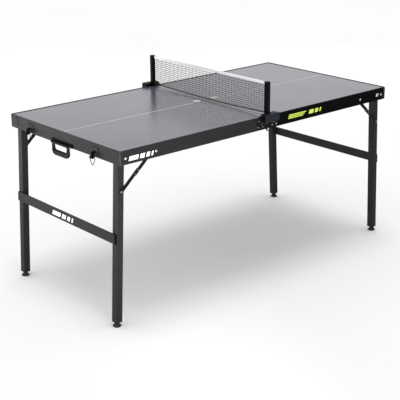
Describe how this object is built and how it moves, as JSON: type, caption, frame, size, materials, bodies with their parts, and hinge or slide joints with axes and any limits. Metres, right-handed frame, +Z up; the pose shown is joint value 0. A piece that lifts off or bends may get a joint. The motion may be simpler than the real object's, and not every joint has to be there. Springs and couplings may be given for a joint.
{
  "type": "ping pong table",
  "caption": "Folding mid-size ping pong table: grey playing board in a black apron frame, splayed square-tube legs with folding braces, clamp-on net and carry handle.",
  "frame": {"origin": "on the floor under the middle of the seam and net: the bottom centre of the bounding box", "axes": "+X along the table, from the end with the carry handle to the end with the catches; +Y across the table; +Z up"},
  "size_m": [1.6742, 0.868, 0.9145],
  "materials": {
    "board": "satin grey-painted fibreboard",
    "apron_steel": "fine-textured black powder coat",
    "tube_steel": "satin dark powder coat",
    "black_steel": "black coated steel",
    "bright_steel": "zinc-plated steel",
    "black_plastic": "fine-grained moulded plastic",
    "cover_steel": "satin blue-grey paint",
    "foot_rubber": "matte black rubber",
    "net_mesh": "dark knotless netting",
    "net_tape": "white woven tape"
  },
  "bodies": {
    "left_half": {"left_panel": "board", "left_apron_near": "apron_steel", "left_apron_far": "apron_steel", "left_apron_end": "apron_steel", "left_seam_rail": "apron_steel", "left_corner_guards": "apron_steel", "left_hinge_leaves": "black_steel", "left_screws": "bright_steel", "left_pivot_pins": "bright_steel", "left_spacers": "black_steel", "hinge_pins": "bright_steel", "handle_base": "black_plastic", "end_pins": "bright_steel", "latch_base_near": "black_steel", "latch_base_far": "black_steel"},
    "right_half": {"right_panel": "board", "right_apron_near": "apron_steel", "right_apron_far": "apron_steel", "right_apron_end": "apron_steel", "right_seam_rail": "apron_steel", "right_corner_guards": "apron_steel", "right_hinge_leaves": "black_steel", "right_screws": "bright_steel", "right_pivot_pins": "bright_steel", "right_spacers": "black_steel", "right_catches": "black_steel"},
    "left_leg_frame": {"left_leg_near": "tube_steel", "left_leg_far": "tube_steel", "left_crossbar": "tube_steel", "left_leg_plugs": "black_plastic", "left_brace_rivets": "bright_steel"},
    "right_leg_frame": {"right_leg_near": "tube_steel", "right_leg_far": "tube_steel", "right_crossbar": "tube_steel", "right_leg_plugs": "black_plastic", "right_brace_rivets": "bright_steel"},
    "net_set": {"net_post_near": "black_plastic", "net_post_far": "black_plastic", "net_clamp_near": "black_plastic", "net_clamp_far": "black_plastic", "net_clamp_covers": "cover_steel", "net_mesh": "net_mesh", "net_tape": "net_tape"},
    "handle": {"handle_grip": "black_plastic"},
    "latch_lever_near": {"latch_lever_near": "black_steel"},
    "latch_lever_far": {"latch_lever_far": "black_steel"},
    "latch_bail_near": {"latch_bail_near": "black_steel"},
    "latch_bail_far": {"latch_bail_far": "black_steel"},
    "left_link_upper_near": {"left_link_upper_near": "black_steel"},
    "left_link_upper_far": {"left_link_upper_far": "black_steel"},
    "left_link_lower_near": {"left_link_lower_near": "black_steel"},
    "left_link_lower_far": {"left_link_lower_far": "black_steel"},
    "left_foot_near": {"left_foot_near": "foot_rubber"},
    "left_foot_far": {"left_foot_far": "foot_rubber"},
    "right_link_upper_near": {"right_link_upper_near": "black_steel"},
    "right_link_upper_far": {"right_link_upper_far": "black_steel"},
    "right_link_lower_near": {"right_link_lower_near": "black_steel"},
    "right_link_lower_far": {"right_link_lower_far": "black_steel"},
    "right_foot_near": {"right_foot_near": "foot_rubber"},
    "right_foot_far": {"right_foot_far": "foot_rubber"}
  },
  "joints": [
    {"name": "table_fold", "type": "hinge", "parent": "left_half", "child": "right_half", "pos_m": [0, 0, 0.7045], "axis": [0, 1, 0], "range_deg": [0, 90]},
    {"name": "net_lift", "type": "slide", "parent": "left_half", "child": "net_set", "axis": [0, 0, 1], "range_m": [0, 0.06]},
    {"name": "handle_swing", "type": "hinge", "parent": "left_half", "child": "handle", "pos_m": [-0.817, 0, 0.709], "axis": [0, 1, 0], "range_deg": [0, 90]},
    {"name": "left_leg_fold", "type": "hinge", "parent": "left_half", "child": "left_leg_frame", "pos_m": [-0.78, 0, 0.7305], "axis": [0, -1, 0], "range_deg": [0, 93.1]},
    {"name": "left_upper_link_near_turn", "type": "hinge", "parent": "left_half", "child": "left_link_upper_near", "pos_m": [-0.626, -0.377, 0.7305], "axis": [0, -1, 0], "range_deg": [0, 138.5]},
    {"name": "left_lower_link_near_turn", "type": "hinge", "parent": "left_leg_frame", "child": "left_link_lower_near", "pos_m": [-0.78777, -0.374, 0.58701], "axis": [0, 1, 0], "range_deg": [0, 134.7]},
    {"name": "left_foot_near_level", "type": "slide", "parent": "left_leg_frame", "child": "left_foot_near", "axis": [-0.0541, 0, -0.9985], "range_m": [0, 0.012]},
    {"name": "left_upper_link_far_turn", "type": "hinge", "parent": "left_half", "child": "left_link_upper_far", "pos_m": [-0.626, 0.377, 0.7305], "axis": [0, -1, 0], "range_deg": [0, 138.5]},
    {"name": "left_lower_link_far_turn", "type": "hinge", "parent": "left_leg_frame", "child": "left_link_lower_far", "pos_m": [-0.78777, 0.374, 0.58701], "axis": [0, 1, 0], "range_deg": [0, 134.7]},
    {"name": "left_foot_far_level", "type": "slide", "parent": "left_leg_frame", "child": "left_foot_far", "axis": [-0.0541, 0, -0.9985], "range_m": [0, 0.012]},
    {"name": "right_leg_fold", "type": "hinge", "parent": "right_half", "child": "right_leg_frame", "pos_m": [0.78, 0, 0.7305], "axis": [0, 1, 0], "range_deg": [0, 93.1]},
    {"name": "right_upper_link_near_turn", "type": "hinge", "parent": "right_half", "child": "right_link_upper_near", "pos_m": [0.626, -0.377, 0.7305], "axis": [0, 1, 0], "range_deg": [0, 138.5]},
    {"name": "right_lower_link_near_turn", "type": "hinge", "parent": "right_leg_frame", "child": "right_link_lower_near", "pos_m": [0.78777, -0.374, 0.58701], "axis": [0, -1, 0], "range_deg": [0, 134.7]},
    {"name": "right_foot_near_level", "type": "slide", "parent": "right_leg_frame", "child": "right_foot_near", "axis": [0.0541, 0, -0.9985], "range_m": [0, 0.012]},
    {"name": "right_upper_link_far_turn", "type": "hinge", "parent": "right_half", "child": "right_link_upper_far", "pos_m": [0.626, 0.377, 0.7305], "axis": [0, 1, 0], "range_deg": [0, 138.5]},
    {"name": "right_lower_link_far_turn", "type": "hinge", "parent": "right_leg_frame", "child": "right_link_lower_far", "pos_m": [0.78777, 0.374, 0.58701], "axis": [0, -1, 0], "range_deg": [0, 134.7]},
    {"name": "right_foot_far_level", "type": "slide", "parent": "right_leg_frame", "child": "right_foot_far", "axis": [0.0541, 0, -0.9985], "range_m": [0, 0.012]},
    {"name": "latch_lever_near_turn", "type": "hinge", "parent": "left_half", "child": "latch_lever_near", "pos_m": [-0.816, -0.239, 0.722], "axis": [0, 1, 0], "range_deg": [0, 90]},
    {"name": "latch_bail_near_turn", "type": "hinge", "parent": "latch_lever_near", "child": "latch_bail_near", "pos_m": [-0.8259, -0.239, 0.7121], "axis": [0, -1, 0], "range_deg": [0, 90]},
    {"name": "latch_lever_far_turn", "type": "hinge", "parent": "left_half", "child": "latch_lever_far", "pos_m": [-0.816, 0.239, 0.722], "axis": [0, 1, 0], "range_deg": [0, 90]},
    {"name": "latch_bail_far_turn", "type": "hinge", "parent": "latch_lever_far", "child": "latch_bail_far", "pos_m": [-0.8259, 0.239, 0.7121], "axis": [0, -1, 0], "range_deg": [0, 90]}
  ],
  "couplings": [
    {"joint": "left_upper_link_near_turn", "follows": "left_leg_fold", "ratio": 1.4869},
    {"joint": "left_lower_link_near_turn", "follows": "left_leg_fold", "ratio": 1.4465},
    {"joint": "left_upper_link_far_turn", "follows": "left_leg_fold", "ratio": 1.4869},
    {"joint": "left_lower_link_far_turn", "follows": "left_leg_fold", "ratio": 1.4465},
    {"joint": "right_upper_link_near_turn", "follows": "right_leg_fold", "ratio": 1.4869},
    {"joint": "right_lower_link_near_turn", "follows": "right_leg_fold", "ratio": 1.4465},
    {"joint": "right_upper_link_far_turn", "follows": "right_leg_fold", "ratio": 1.4869},
    {"joint": "right_lower_link_far_turn", "follows": "right_leg_fold", "ratio": 1.4465},
    {"joint": "latch_bail_near_turn", "follows": "latch_lever_near_turn", "ratio": 1},
    {"joint": "latch_bail_far_turn", "follows": "latch_lever_far_turn", "ratio": 1}
  ]
}
